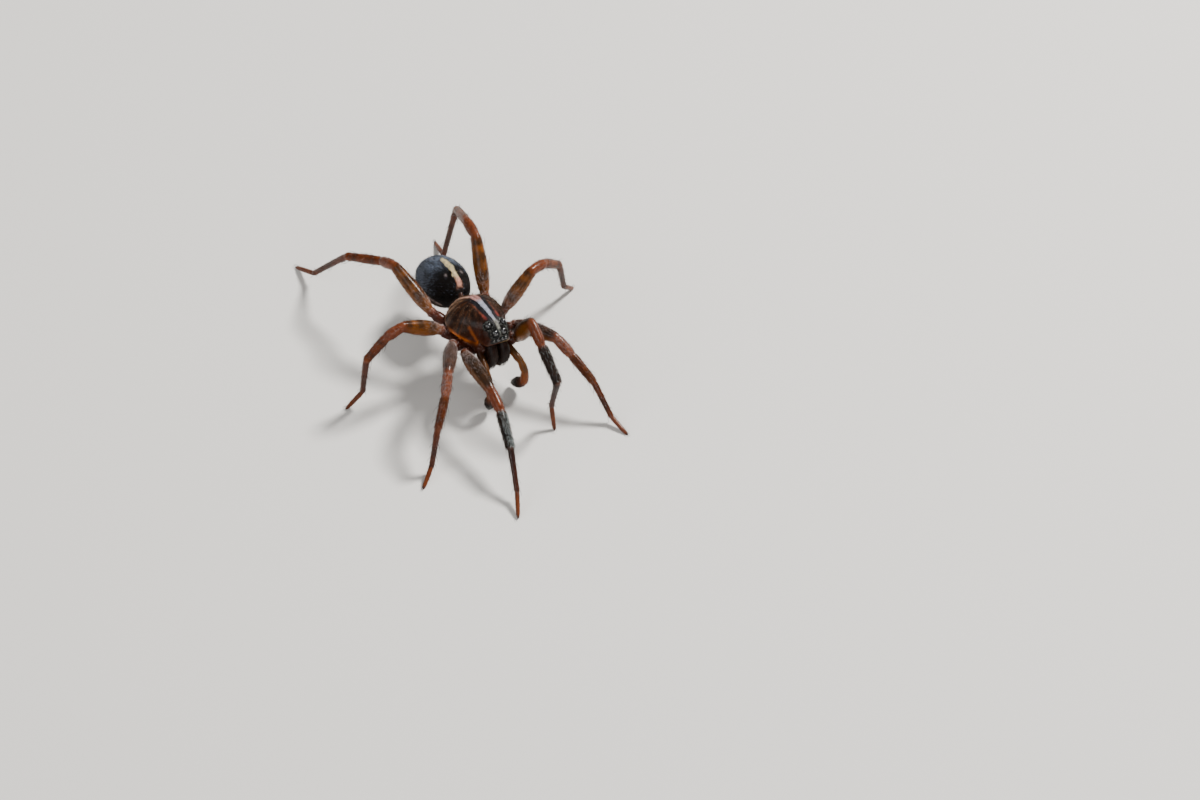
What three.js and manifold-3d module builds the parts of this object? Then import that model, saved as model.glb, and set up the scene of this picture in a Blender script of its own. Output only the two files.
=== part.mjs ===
// A wolf spider: an adult male standing still, all eight feet on the ground.
// Millimetres, +Z up. The spider looks along -Y and its left side is +X.
// The origin is on the ground, in the middle of the spider's bounding box.
import * as THREE from "three";
import { mergeVertices } from "three/addons/utils/BufferGeometryUtils.js";
import Module from "manifold-3d";

const wasm = await Module();
wasm.setup();

// ---- Driving dimensions -------------------------------------------------------------------
// A place in the body is [forward, left, up] from the middle of the carapace, at the height of
// its edge. Angles are in degrees. Sizes reach the tips of the short coat of hairs.

const BODY_HEIGHT = 4.05; // the carapace's edge above the ground
const BODY_PITCH = 4; // the head hangs this much lower
const BODY_ROLL = 9; // and the left side this much
const JOINT_GAP = 0.06; // between neighbouring pieces

// The carapace and sternum in one: values against the place along the body, front first.
const CARAPACE_HALF_WIDTH = [
  [2.2, 0.6], [2.05, 0.86], [1.7, 1.0], [1.2, 1.15], [0.6, 1.5],
  [0, 1.77], [-0.6, 1.84], [-1.2, 1.7], [-1.75, 1.22], [-2.2, 0.45],
];
const CARAPACE_TOP = [
  [2.2, 1.0], [2.08, 1.18], [1.8, 1.42], [1.2, 1.6], [0.4, 1.64],
  [-0.5, 1.57], [-1.2, 1.3], [-1.8, 0.78], [-2.2, 0.32],
];
const BODY_UNDERSIDE = [
  [2.2, 0.32], [1.85, 0.26], [1.5, 0.2], [1.3, -0.3], [1.0, -0.62],
  [0, -0.7], [-1.1, -0.62], [-1.8, -0.36], [-2.2, -0.08],
];
const CARAPACE_SECTIONS = [
  2.2, 2.14, 2.05, 1.9, 1.7, 1.45, 1.2, 0.85, 0.45, 0, -0.45, -0.9, -1.3, -1.65, -1.95, -2.2,
];
const HEAD_SQUARENESS = 2.7; // superellipse power of a section through the head
const CHEST_SQUARENESS = 2.05; // and of one through the broad rear half
const UNDERSIDE_SQUARENESS = 1.05; // the flanks run nearly straight in to the sternum
const CARAPACE_EDGE = -0.2; // the height of its widest line

const ABDOMEN = {
  start: [-2.4, 0.15, 0.38],
  halfLength: 2.42,
  halfWidth: 1.49,
  halfHeight: 1.56,
  rearSwell: 0.07, // the widest place lies behind the middle
  swing: -6, // the rear end is turned to the left
  droop: 27,
};
const PEDICEL = { radius: 0.18, from: -2.22, to: -2.31, left: 0.06, height: 0.26 };
const SPINNERETS = { length: 0.42, radius: 0.15, spread: 0.17 };

// The eyes, for the left side: four small ones in a front row, two large, two medium behind.
const EYES = {
  front_inner: { at: [2.17, 0.16, 0.74], radius: 0.12 },
  front_outer: { at: [2.14, 0.42, 0.7], radius: 0.1 },
  middle: { at: [1.92, 0.28, 1.14], radius: 0.22 },
  rear: { at: [1.45, 0.52, 1.38], radius: 0.2 },
};
const EYE_SOCKET_GAP = 0.03;

const CHELICERA = {
  top: [1.86, 0.4, 0.14],
  bend: [2.24, 0.42, -0.56],
  tip: [2.12, 0.39, -1.3],
  halfWidths: [0.3, 0.38, 0.36, 0.24],
  halfDepths: [0.34, 0.44, 0.4, 0.24],
};
const FANG = { base: [2.17, 0.43, -1.49], elbow: [2.03, 0.25, -1.61], tip: [1.69, 0.11, -1.54], radius: 0.13 };

const PALP_LENGTHS = [1.6, 0.75, 0.9, 1.4]; // femur, patella, tibia, cymbium
const PALP_RADII = [[0.2, 0.25, 0.25], [0.25, 0.26, 0.25], [0.25, 0.27, 0.27], [0.27, 0.36, 0.12]];
const PALP_BASE = [1.5, 0.93, -0.36];
const PALPS = {
  left: { azimuth: 12, rises: [-26, -62, -96, -141] },
  right: { azimuth: 11, rises: [-24, -52, -78, -108] },
};

// The legs, front pair first. A hip is the inner end of the coxa, and the coxa ends at the
// trochanter. Lengths: femur, patella, tibia, metatarsus, tarsus.
const LEG_PAIRS = [
  { hip: [1.1, 1.08, -0.84], trochanter: [1.5, 1.9, -0.38], lengths: [3.3, 1.5, 2.45, 2.6, 1.65] },
  { hip: [0.38, 1.25, -0.88], trochanter: [0.64, 2.31, -0.26], lengths: [3.05, 1.4, 2.1, 2.4, 1.5] },
  { hip: [-0.36, 1.27, -0.9], trochanter: [-0.74, 2.32, -0.22], lengths: [2.85, 1.15, 1.9, 2.75, 1.55] },
  { hip: [-1.12, 1.16, -0.84], trochanter: [-2.42, 1.95, -0.34], lengths: [3.55, 1.4, 2.9, 4.05, 2] },
];

// Each leg bends in one upright plane. Azimuth turns the plane from straight ahead (0) to
// straight back (180), lean tips its upper side forward, rises are the slopes above the
// horizon of the femur, patella, tibia and metatarsus, and sway turns the leg beyond the
// patella sideways. The tarsus slopes down from there to the ground, turned further by foot.
const LEG_POSES = {
  right: [
    { azimuth: 3, lean: -11, rises: [-1, -20, -24, -41], sway: 9, foot: 12 },
    { azimuth: 36, lean: -5, rises: [13, -34, -37, -67], sway: 8, foot: 6 },
    { azimuth: 96, lean: -4, rises: [30, -25, -45, -85], sway: -4, foot: 5 },
    { azimuth: 172, lean: -4, rises: [24, -27, -21, -48], sway: -17, foot: 15 },
  ],
  left: [
    { azimuth: -6, lean: 2, rises: [57, -26, -32, -104], sway: 3, foot: -3 },
    { azimuth: 20, lean: 4, rises: [13, -29, -30, -51], sway: -3, foot: -5 },
    { azimuth: 107, lean: -8, rises: [38, -14, -41, -74], sway: -5, foot: 7 },
    { azimuth: 172, lean: -12, rises: [45, -1, -27, -84], sway: -15, foot: 5 },
  ],
};
const LEG_WIDTH = 0.94; // a leg's width against its height
const FEMUR_WIDTH = 0.84;

// Radii along each leg piece, against the share of its length.
const COXA_RADII = [[0, 0.24], [0.2, 0.3], [0.6, 0.34], [1, 0.33]];
const FEMUR_RADII = [[0, 0.35], [0.14, 0.45], [0.35, 0.52], [0.65, 0.48], [0.87, 0.42], [1, 0.36]];
const PATELLA_RADII = [[0, 0.35], [0.5, 0.37], [1, 0.32]];
const TIBIA_RADII = [[0, 0.31], [0.3, 0.32], [0.7, 0.3], [1, 0.27]];
const METATARSUS_RADII = [[0, 0.27], [0.15, 0.26], [0.5, 0.25], [1, 0.24]];
const TARSUS_RADII = [[0, 0.24], [0.3, 0.24], [0.6, 0.21], [1, 0.16]];
const LEG_SIDES = 10;

// ---- Materials ----------------------------------------------------------------------------
const finish = (color, roughness) => new THREE.MeshStandardMaterial({ color, roughness });
const carapaceBrown = finish(0x4a2a1c, 0.55);
const abdomenBlack = finish(0x1c1c20, 0.8);
const femurAmber = finish(0x8a5a2a, 0.55);
const shinBrown = finish(0x7a3a22, 0.5);
const frontShinBlack = finish(0x26221f, 0.7);
const footBrown = finish(0x8c4428, 0.5);
const chelaBrown = finish(0x2a1712, 0.4);
const fangBlack = finish(0x140a08, 0.25);
const palpOrange = finish(0xa45a24, 0.5);
const bulbDark = finish(0x2c1c16, 0.6);
const eyeBlack = finish(0x050505, 0.1);

// ---- Small helpers ------------------------------------------------------------------------
const degrees = (angle) => THREE.MathUtils.degToRad(angle);
const spacePoint = ([forward, left, up]) => new THREE.Vector3(left, -forward, up);
const onSide = ([forward, left, up], side) => [forward, side * left, up];
const SIDES = { left: 1, right: -1 };

// A smooth curve through [place, value] pairs whose places run one way.
function smooth(pairs) {
  const slope = (i) => {
    const a = pairs[Math.max(i - 1, 0)];
    const b = pairs[Math.min(i + 1, pairs.length - 1)];
    return (b[1] - a[1]) / (b[0] - a[0]);
  };
  const direction = Math.sign(pairs.at(-1)[0] - pairs[0][0]);
  return (place) => {
    const found = pairs.findIndex((pair) => direction * (pair[0] - place) >= 0);
    const i = Math.max(found, 1);
    const [p0, v0] = pairs[i - 1];
    const [p1, v1] = pairs[i];
    const step = p1 - p0;
    const t = (place - p0) / step;
    const bend = t * t * (3 - 2 * t);
    const rise = t * (1 - t) * ((1 - t) * slope(i - 1) - t * slope(i)) * step;
    return v0 + (v1 - v0) * bend + rise;
  };
}

// A closed solid through rings that have the same number of points, with a flat fan at each end.
function loft(rings) {
  const sides = rings[0].length;
  const points = rings.flat();
  const middle = (ring) => ring
    .reduce((sum, p) => sum.add(p), new THREE.Vector3())
    .divideScalar(sides);
  const firstMiddle = points.push(middle(rings[0])) - 1;
  const lastMiddle = points.push(middle(rings.at(-1))) - 1;
  const last = (rings.length - 1) * sides;
  const faces = [];
  for (let k = 0; k < sides; k++) {
    const next = (k + 1) % sides;
    for (let start = 0; start < last; start += sides) {
      const [a, b] = [start + k, start + next];
      faces.push(a, b, b + sides, a, b + sides, a + sides);
    }
    faces.push(firstMiddle, next, k, lastMiddle, last + k, last + next);
  }
  const geometry = new THREE.BufferGeometry().setFromPoints(points);
  geometry.setIndex(signedVolume(points, faces) < 0 ? faces.reverse() : faces);
  return geometry;
}

function signedVolume(points, faces) {
  let volume = 0;
  for (let i = 0; i < faces.length; i += 3) {
    const [a, b, c] = [points[faces[i]], points[faces[i + 1]], points[faces[i + 2]]];
    volume += a.dot(new THREE.Vector3().crossVectors(b, c)) / 6;
  }
  return volume;
}

function toSolid(geometry) {
  const plain = geometry.clone();
  plain.deleteAttribute("normal");
  plain.deleteAttribute("uv");
  const merged = mergeVertices(plain, 1e-4);
  return new wasm.Manifold(new wasm.Mesh({
    numProp: 3,
    vertProperties: merged.attributes.position.array,
    triVerts: new Uint32Array(merged.index.array),
  }));
}

function toGeometry(solid) {
  const mesh = solid.getMesh();
  const geometry = new THREE.BufferGeometry();
  geometry.setAttribute("position", new THREE.BufferAttribute(mesh.vertProperties, 3));
  geometry.setIndex(new THREE.BufferAttribute(mesh.triVerts, 1));
  return geometry;
}

// The ring of a superellipse: x to the left, z up, at one place along the body.
function bodyRing(forward, halfWidth, top, underside, power, sides) {
  const ring = [];
  for (let k = 0; k < sides; k++) {
    const angle = (2 * Math.PI * k) / sides;
    const [c, s] = [Math.cos(angle), Math.sin(angle)];
    const n = s >= 0 ? power : UNDERSIDE_SQUARENESS;
    const left = halfWidth * Math.sign(c) * Math.abs(c) ** (2 / n);
    const height = s >= 0 ? top * s ** (2 / n) : underside * Math.abs(s) ** (2 / n);
    ring.push(new THREE.Vector3(left, -forward, height));
  }
  return ring;
}

// ---- The body -----------------------------------------------------------------------------
const spider = new THREE.Group();
const body = new THREE.Group();
body.position.z = BODY_HEIGHT;
body.rotation.set(degrees(BODY_PITCH), degrees(BODY_ROLL), 0);
body.updateMatrix();
spider.add(body);

function addPiece(group, name, geometry, material) {
  const mesh = new THREE.Mesh(geometry, material);
  mesh.name = name;
  group.add(mesh);
}

function eyePlaces() {
  const places = [];
  for (const [row, { at, radius }] of Object.entries(EYES)) {
    for (const [sideName, side] of Object.entries(SIDES)) {
      places.push({ name: `eye_${row}_${sideName}`, centre: spacePoint(onSide(at, side)), radius });
    }
  }
  return places;
}

function ball(centre, radius, around, upDown) {
  return new THREE.SphereGeometry(radius, around, upDown).translate(...centre.toArray());
}

// The cephalothorax: the high narrow head and the broad chest, with a socket for each eye.
// Towards the front end the underside rises over the chelicerae.
function cephalothorax() {
  const halfWidth = smooth(CARAPACE_HALF_WIDTH);
  const top = smooth(CARAPACE_TOP);
  const underside = smooth(BODY_UNDERSIDE);
  const rings = CARAPACE_SECTIONS.map((forward) => {
    const headShare = THREE.MathUtils.smoothstep(forward, 0.2, 1.4);
    const power = THREE.MathUtils.lerp(CHEST_SQUARENESS, HEAD_SQUARENESS, headShare);
    const low = Math.max(underside(forward), CARAPACE_EDGE);
    const depth = Math.min(underside(forward) - low, -0.02);
    const ring = bodyRing(forward, halfWidth(forward), top(forward) - low, depth, power, 24);
    return ring.map((p) => p.setZ(p.z + low));
  });
  let solid = toSolid(loft(rings));
  for (const { centre, radius } of eyePlaces()) {
    solid = solid.subtract(toSolid(ball(centre, radius + EYE_SOCKET_GAP, 10, 7)));
  }
  return toGeometry(solid);
}

function pedicel() {
  const rings = [PEDICEL.from, PEDICEL.to].map((forward) => {
    const ring = [];
    for (let k = 0; k < 10; k++) {
      const angle = (2 * Math.PI * k) / 10;
      ring.push(new THREE.Vector3(
        PEDICEL.left + PEDICEL.radius * Math.cos(angle),
        -forward,
        PEDICEL.height + PEDICEL.radius * Math.sin(angle),
      ));
    }
    return ring;
  });
  return loft(rings);
}

// An egg along -forward, its blunt end at the rear, from the group's origin.
function abdomenEgg() {
  const { halfLength, halfWidth, halfHeight, rearSwell } = ABDOMEN;
  const rings = [];
  for (let step = 0; step <= 13; step++) {
    const turn = degrees(9 + (162 * step) / 13);
    const radius = Math.sin(turn) * (1 - rearSwell * Math.cos(turn));
    const ring = [];
    for (let k = 0; k < 20; k++) {
      const angle = (2 * Math.PI * k) / 20;
      ring.push(new THREE.Vector3(
        halfWidth * radius * Math.cos(angle),
        halfLength * (1 - Math.cos(turn)),
        halfHeight * radius * Math.sin(angle),
      ));
    }
    rings.push(ring);
  }
  return loft(rings);
}

// Four small cones on one stem, side by side and pointing back.
function spinneretCluster() {
  const { length, radius, spread } = SPINNERETS;
  const cone = (x, z, size) => new THREE.CylinderGeometry(radius * 0.5 * size, radius * size, length, 8)
    .translate(x, length / 2, z);
  let solid = toSolid(cone(-spread, 0, 1));
  for (const [x, z] of [[spread, 0], [-spread / 2, -spread], [spread / 2, -spread]]) {
    solid = solid.add(toSolid(cone(x, z, 1)));
  }
  return toGeometry(solid.add(toSolid(cone(0, -spread / 2, 1.2))));
}

// ---- Limbs --------------------------------------------------------------------------------
// The pieces of a limb meet on planes that halve the angle between them, half a gap apart.

const planeAt = (point, normal) => new THREE.Plane().setFromNormalAndCoplanarPoint(normal, point);

function ringAcross(centre, direction, sideways, radius, sides, widthShare) {
  const across = sideways.clone().addScaledVector(direction, -sideways.dot(direction)).normalize();
  const dorsal = new THREE.Vector3().crossVectors(across, direction);
  const ring = [];
  for (let k = 0; k < sides; k++) {
    const angle = (2 * Math.PI * k) / sides;
    ring.push(centre.clone()
      .addScaledVector(across, widthShare * radius * Math.cos(angle))
      .addScaledVector(dorsal, radius * Math.sin(angle)));
  }
  return ring;
}

// Slides a ring's points along its limb until they lie in a plane.
function slideOnto(ring, direction, plane) {
  const steepness = plane.normal.dot(direction);
  return ring.map((p) => p.addScaledVector(direction, -plane.distanceToPoint(p) / steepness));
}

// One straight piece between two planes, as rings.
function pieceRings(from, to, sideways, radii, startPlane, endPlane, widthShare = LEG_WIDTH) {
  const direction = to.clone().sub(from).normalize();
  return radii.map(([share, radius], i) => {
    const ring = ringAcross(from.clone().lerp(to, share), direction, sideways, radius, LEG_SIDES, widthShare);
    if (i === 0) return slideOnto(ring, direction, startPlane);
    if (i === radii.length - 1) return slideOnto(ring, direction, endPlane);
    return ring;
  });
}

// The plane that halves the bend at a joint, moved along its normal.
function jointPlane(before, joint, after, shift) {
  const arriving = joint.clone().sub(before).normalize();
  const leaving = after.clone().sub(joint).normalize();
  const normal = arriving.add(leaving).normalize();
  return planeAt(joint.clone().addScaledVector(normal, shift), normal);
}

const endPlane = (from, to, at) => planeAt(at, to.clone().sub(from).normalize());

const inBody = (place) => spacePoint(place).applyMatrix4(body.matrix);

// The joints of a leg, from hip to tip, and the directions across its two planes.
function legJoints(pair, pose, side) {
  const joints = [inBody(onSide(pair.hip, side)), inBody(onSide(pair.trochanter, side))];
  const azimuth = degrees(pose.azimuth);
  const outward = new THREE.Vector3(side * Math.sin(azimuth), -Math.cos(azimuth), 0);
  const across = new THREE.Vector3(Math.cos(azimuth), side * Math.sin(azimuth), 0);
  const lean = degrees(pose.lean);
  const upward = new THREE.Vector3(0, 0, Math.cos(lean)).addScaledVector(across, side * Math.sin(lean));
  const acrossLeg = new THREE.Vector3().crossVectors(upward, outward).multiplyScalar(side);
  const turned = (angle) => outward.clone()
    .multiplyScalar(Math.cos(degrees(angle)))
    .addScaledVector(acrossLeg, Math.sin(degrees(angle)));
  const step = (length, rise, heading) => joints.at(-1).clone()
    .addScaledVector(heading, length * Math.cos(rise))
    .addScaledVector(upward, length * Math.sin(rise));
  pose.rises.forEach((rise, i) => {
    joints.push(step(pair.lengths[i], degrees(rise), i < 2 ? outward : turned(pose.sway)));
  });
  const tarsus = pair.lengths[4];
  const drop = Math.asin(joints.at(-1).z / (tarsus * upward.z));
  joints.push(step(tarsus, -drop, turned(pose.sway + pose.foot)));
  return { joints, sideways: acrossLeg };
}

function addLeg(sideName, number) {
  const side = SIDES[sideName];
  const pair = LEG_PAIRS[number - 1];
  const { joints, sideways } = legJoints(pair, LEG_POSES[sideName][number - 1], side);
  const [hip, trochanter, knee, shin, ankle, heel, tip] = joints;
  const half = JOINT_GAP / 2;
  const floor = planeAt(new THREE.Vector3(), new THREE.Vector3(0, 0, 1));
  const before = (i) => jointPlane(joints[i - 1], joints[i], joints[i + 1], -half);
  const after = (i) => jointPlane(joints[i - 1], joints[i], joints[i + 1], half);
  const name = `leg_${sideName}_${number}`;
  const hipPlane = endPlane(hip, trochanter, hip);
  const coxa = pieceRings(hip, trochanter, sideways, COXA_RADII, hipPlane, before(1));
  const femur = pieceRings(trochanter, knee, sideways, FEMUR_RADII, after(1), before(2), FEMUR_WIDTH);
  const kneePlane = jointPlane(knee, shin, ankle, 0);
  const patella = pieceRings(knee, shin, sideways, PATELLA_RADII, after(2), kneePlane);
  const tibia = pieceRings(shin, ankle, sideways, TIBIA_RADII, kneePlane, before(4));
  const metatarsus = pieceRings(ankle, heel, sideways, METATARSUS_RADII, after(4), before(5));
  const tarsus = pieceRings(heel, tip, sideways, TARSUS_RADII, after(5), floor);
  addPiece(spider, `${name}_coxa`, loft(coxa), carapaceBrown);
  addPiece(spider, `${name}_femur`, loft(femur), femurAmber);
  addPiece(
    spider, `${name}_tibia`, loft([...patella, ...tibia.slice(1)]), number === 1 ? frontShinBlack : shinBrown,
  );
  addPiece(spider, `${name}_metatarsus`, loft(metatarsus), shinBrown);
  addPiece(spider, `${name}_tarsus`, loft(tarsus), footBrown);
}

// A chelicera: a stout hanging barrel, bent a little forward in the middle.
function chelicera(side) {
  const { top, bend, tip } = CHELICERA;
  const places = [top, bend, tip].map((place) => spacePoint(onSide(place, side)));
  const route = new THREE.CatmullRomCurve3(places);
  const width = smooth(CHELICERA.halfWidths.map((value, i) => [i / 3, value]));
  const depth = smooth(CHELICERA.halfDepths.map((value, i) => [i / 3, value]));
  const rings = [];
  for (let step = 0; step <= 7; step++) {
    const t = step / 7;
    const centre = route.getPoint(t);
    const direction = step ? route.getTangent(t) : new THREE.Vector3(0, 0, -1);
    rings.push(ringAcross(
      centre, direction, new THREE.Vector3(1, 0, 0), depth(t), 12, width(t) / depth(t),
    ));
  }
  return loft(rings);
}

// A fang: a curved claw folded inward under the end of its chelicera.
function fang(side) {
  const places = [FANG.base, FANG.elbow, FANG.tip].map((place) => spacePoint(onSide(place, side)));
  const route = new THREE.QuadraticBezierCurve3(...places);
  const rings = [];
  for (let step = 0; step <= 5; step++) {
    const t = step / 5;
    const radius = FANG.radius * (1 - 0.85 * t * t);
    rings.push(ringAcross(route.getPoint(t), route.getTangent(t), new THREE.Vector3(0, 0, 1), radius, 8, 1));
  }
  return loft(rings);
}

// A palp: femur, patella and tibia in one arm, then the swollen cymbium.
function addPalp(sideName) {
  const side = SIDES[sideName];
  const { azimuth, rises } = PALPS[sideName];
  const outward = new THREE.Vector3(side * Math.sin(degrees(azimuth)), -Math.cos(degrees(azimuth)), 0);
  const sideways = new THREE.Vector3(outward.y, -outward.x, 0);
  const joints = [inBody(onSide(PALP_BASE, side))];
  rises.forEach((rise, i) => {
    joints.push(joints.at(-1).clone()
      .addScaledVector(outward, PALP_LENGTHS[i] * Math.cos(degrees(rise)))
      .addScaledVector(new THREE.Vector3(0, 0, 1), PALP_LENGTHS[i] * Math.sin(degrees(rise))));
  });
  const bend = (i, shift) => jointPlane(joints[i - 1], joints[i], joints[i + 1], shift);
  const pieces = PALP_RADII.map((radii, i) => {
    const start = i ? bend(i, i === 3 ? JOINT_GAP / 2 : 0) : endPlane(joints[0], joints[1], joints[0]);
    const end = i < 3 ? bend(i + 1, i === 2 ? -JOINT_GAP / 2 : 0) : endPlane(joints[3], joints[4], joints[4]);
    const shares = i === 3 ? [[0, radii[0]], [0.3, radii[1]], [0.65, radii[1] * 0.8], [1, radii[2]]]
      : radii.map((radius, k) => [k / 2, radius]);
    return pieceRings(joints[i], joints[i + 1], sideways, shares, start, end);
  });
  const arm = [...pieces[0], ...pieces[1].slice(1), ...pieces[2].slice(1)];
  addPiece(spider, `palp_${sideName}_arm`, loft(arm), palpOrange);
  addPiece(spider, `palp_${sideName}_cymbium`, loft(pieces[3]), bulbDark);
}

// ---- The whole spider ---------------------------------------------------------------------
addPiece(body, "cephalothorax", cephalothorax(), carapaceBrown);
addPiece(body, "pedicel", pedicel(), carapaceBrown);

const abdomen = new THREE.Group();
abdomen.position.copy(spacePoint(ABDOMEN.start));
abdomen.rotation.set(degrees(-ABDOMEN.droop), 0, degrees(ABDOMEN.swing), "ZXY");
body.add(abdomen);
addPiece(abdomen, "abdomen", abdomenEgg(), abdomenBlack);

const spinnerets = new THREE.Group();
spinnerets.position.set(0, 2 * ABDOMEN.halfLength + 0.03, -0.1);
abdomen.add(spinnerets);
addPiece(spinnerets, "spinnerets", spinneretCluster(), bulbDark);

for (const { name, centre, radius } of eyePlaces()) {
  addPiece(body, name, ball(centre, radius, 8, 6), eyeBlack);
}
for (const [sideName, side] of Object.entries(SIDES)) {
  addPiece(body, `chelicera_${sideName}`, chelicera(side), chelaBrown);
  addPiece(body, `fang_${sideName}`, fang(side), fangBlack);
  addPalp(sideName);
  for (const number of [1, 2, 3, 4]) {
    addLeg(sideName, number);
  }
}

// The origin goes to the middle of the bounding box's floor.
spider.updateMatrixWorld(true);
const middle = new THREE.Box3().setFromObject(spider, true).getCenter(new THREE.Vector3());
spider.position.set(-middle.x, -middle.y, 0);

export default spider;
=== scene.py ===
import bpy
import numpy as np
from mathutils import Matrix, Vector
from mathutils.bvhtree import BVHTree
from mathutils.kdtree import KDTree


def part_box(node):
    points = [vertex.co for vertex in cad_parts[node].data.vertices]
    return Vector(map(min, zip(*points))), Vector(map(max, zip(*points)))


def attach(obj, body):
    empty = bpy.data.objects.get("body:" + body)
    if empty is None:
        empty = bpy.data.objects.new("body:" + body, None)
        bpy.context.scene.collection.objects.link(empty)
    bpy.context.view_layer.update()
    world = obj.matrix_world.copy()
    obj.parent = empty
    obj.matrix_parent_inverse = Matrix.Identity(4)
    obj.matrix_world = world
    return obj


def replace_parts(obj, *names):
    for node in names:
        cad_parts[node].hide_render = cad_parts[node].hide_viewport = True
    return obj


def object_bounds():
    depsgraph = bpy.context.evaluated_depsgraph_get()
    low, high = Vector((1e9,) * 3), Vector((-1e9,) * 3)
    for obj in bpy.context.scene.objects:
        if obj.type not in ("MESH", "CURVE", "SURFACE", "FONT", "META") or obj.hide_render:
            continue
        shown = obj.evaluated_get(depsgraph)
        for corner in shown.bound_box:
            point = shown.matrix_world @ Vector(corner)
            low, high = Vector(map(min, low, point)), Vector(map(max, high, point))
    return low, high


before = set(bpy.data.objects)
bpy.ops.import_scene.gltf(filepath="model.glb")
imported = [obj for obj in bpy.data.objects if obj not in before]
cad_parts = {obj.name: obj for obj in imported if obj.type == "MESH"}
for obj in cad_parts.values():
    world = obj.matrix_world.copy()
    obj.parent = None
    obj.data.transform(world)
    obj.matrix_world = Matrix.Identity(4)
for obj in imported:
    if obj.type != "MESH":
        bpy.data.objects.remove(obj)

CAD_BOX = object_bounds()
MM = 0.001
rng = np.random.default_rng(17)

# ---- Pose and sizes: the CAD model's own, in millimetres and degrees ----
BODY_HEIGHT, BODY_PITCH, BODY_ROLL = 4.05, 4, 9
# the cephalothorax as (place along the body, size)
HALF_WIDTH = [
    (2.2, 0.6), (2.05, 0.86), (1.7, 1), (1.2, 1.15), (0.6, 1.5),
    (0, 1.77), (-0.6, 1.84), (-1.2, 1.7), (-1.75, 1.22), (-2.2, 0.45),
]
TOP = [
    (2.2, 1), (2.08, 1.18), (1.8, 1.42), (1.2, 1.6), (0.4, 1.64),
    (-0.5, 1.57), (-1.2, 1.3), (-1.8, 0.78), (-2.2, 0.32),
]
UNDERSIDE = [
    (2.2, 0.32), (1.85, 0.26), (1.5, 0.2), (1.3, -0.3), (1, -0.62),
    (0, -0.7), (-1.1, -0.62), (-1.8, -0.36), (-2.2, -0.08),
]
HEAD_POWER, CHEST_POWER, UNDER_POWER, EDGE = 2.7, 2.05, 1.05, -0.2
# the abdomen: its front end (left, back, up), how it is turned, its half sizes, how much fuller it is behind
ABDOMEN_START, ABDOMEN_SWING, ABDOMEN_DROOP = (0.15, 2.4, 0.38), -6, 27
ABDOMEN_LONG, ABDOMEN_WIDE, ABDOMEN_HIGH, ABDOMEN_SWELL = 2.42, 1.49, 1.56, 0.07
# place as (forward, left, up), radius
EYES = {
    "front_inner": ((2.17, 0.16, 0.74), 0.12),
    "front_outer": ((2.14, 0.42, 0.7), 0.1),
    "middle": ((1.92, 0.28, 1.14), 0.22),
    "rear": ((1.45, 0.52, 1.38), 0.2),
}
CHELICERA = [(1.86, 0.4, 0.14), (2.24, 0.42, -0.56), (2.12, 0.39, -1.3)]
CHELICERA_WIDE = [(0, 0.3), (0.33, 0.38), (0.67, 0.36), (1, 0.24)]
CHELICERA_DEEP = [(0, 0.34), (0.33, 0.44), (0.67, 0.4), (1, 0.24)]
FANG = [(2.17, 0.43, -1.49), (2.03, 0.25, -1.61), (1.69, 0.11, -1.54)]
PALP_BASE, PALP_LENGTHS = (1.5, 0.93, -0.36), (1.6, 0.75, 0.9, 1.4)
# azimuth, (femur, patella, tibia, cymbium)
PALPS = {"left": (12, (-26, -62, -96, -141)), "right": (11, (-24, -52, -78, -108))}
# hip, trochanter, (femur, patella, tibia, metatarsus, tarsus)
LEG_PAIRS = [
    ((1.1, 1.08, -0.84), (1.5, 1.9, -0.38), (3.3, 1.5, 2.45, 2.6, 1.65)),
    ((0.38, 1.25, -0.88), (0.64, 2.31, -0.26), (3.05, 1.4, 2.1, 2.4, 1.5)),
    ((-0.36, 1.27, -0.9), (-0.74, 2.32, -0.22), (2.85, 1.15, 1.9, 2.75, 1.55)),
    ((-1.12, 1.16, -0.84), (-2.42, 1.95, -0.34), (3.55, 1.4, 2.9, 4.05, 2)),
]
# azimuth, lean, (femur, patella, tibia, metatarsus), sway, foot
LEG_POSES = {
    "right": [
        (3, -11, (-1, -20, -24, -41), 9, 12), (36, -5, (13, -34, -37, -67), 8, 6),
        (96, -4, (30, -25, -45, -85), -4, 5), (172, -4, (24, -27, -21, -48), -17, 15),
    ],
    "left": [
        (-6, 2, (57, -26, -32, -104), 3, -3), (20, 4, (13, -29, -30, -51), -3, -5),
        (107, -8, (38, -14, -41, -74), -5, 7), (172, -12, (45, -1, -27, -84), -15, 5),
    ],
}
SIDES = {"left": 1, "right": -1}
# how far the skin lies inside the solids, how fine it is, and how far back on the carapace its rays meet
SKIN_DEPTH, VOXEL, RAYS_MEET = 0.035, 0.05, 0.9


# ---- Small maths ----
def unit(v):
    return v / np.maximum(np.linalg.norm(v, axis=-1, keepdims=True), 1e-12)


def turn(axis, degrees):
    c, s = np.cos(np.radians(degrees)), np.sin(np.radians(degrees))
    m = np.eye(3)
    i, j = [(1, 2), (2, 0), (0, 1)]["xyz".index(axis)]
    m[i, i] = m[j, j] = c
    m[i, j], m[j, i] = -s, s
    return m


def smooth(pairs):
    """The CAD model's smooth curve through (place, value) pairs."""
    x, y = np.array(sorted(pairs), float).T
    slope = np.concatenate([
        [(y[1] - y[0]) / (x[1] - x[0])], (y[2:] - y[:-2]) / (x[2:] - x[:-2]),
        [(y[-1] - y[-2]) / (x[-1] - x[-2])],
    ])

    def value(place):
        i = np.clip(np.searchsorted(x, place) - 1, 0, len(x) - 2)
        step = x[i + 1] - x[i]
        t = (place - x[i]) / step
        rise = t * (1 - t) * ((1 - t) * slope[i] - t * slope[i + 1]) * step
        return y[i] + (y[i + 1] - y[i]) * t * t * (3 - 2 * t) + rise

    return value


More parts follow.
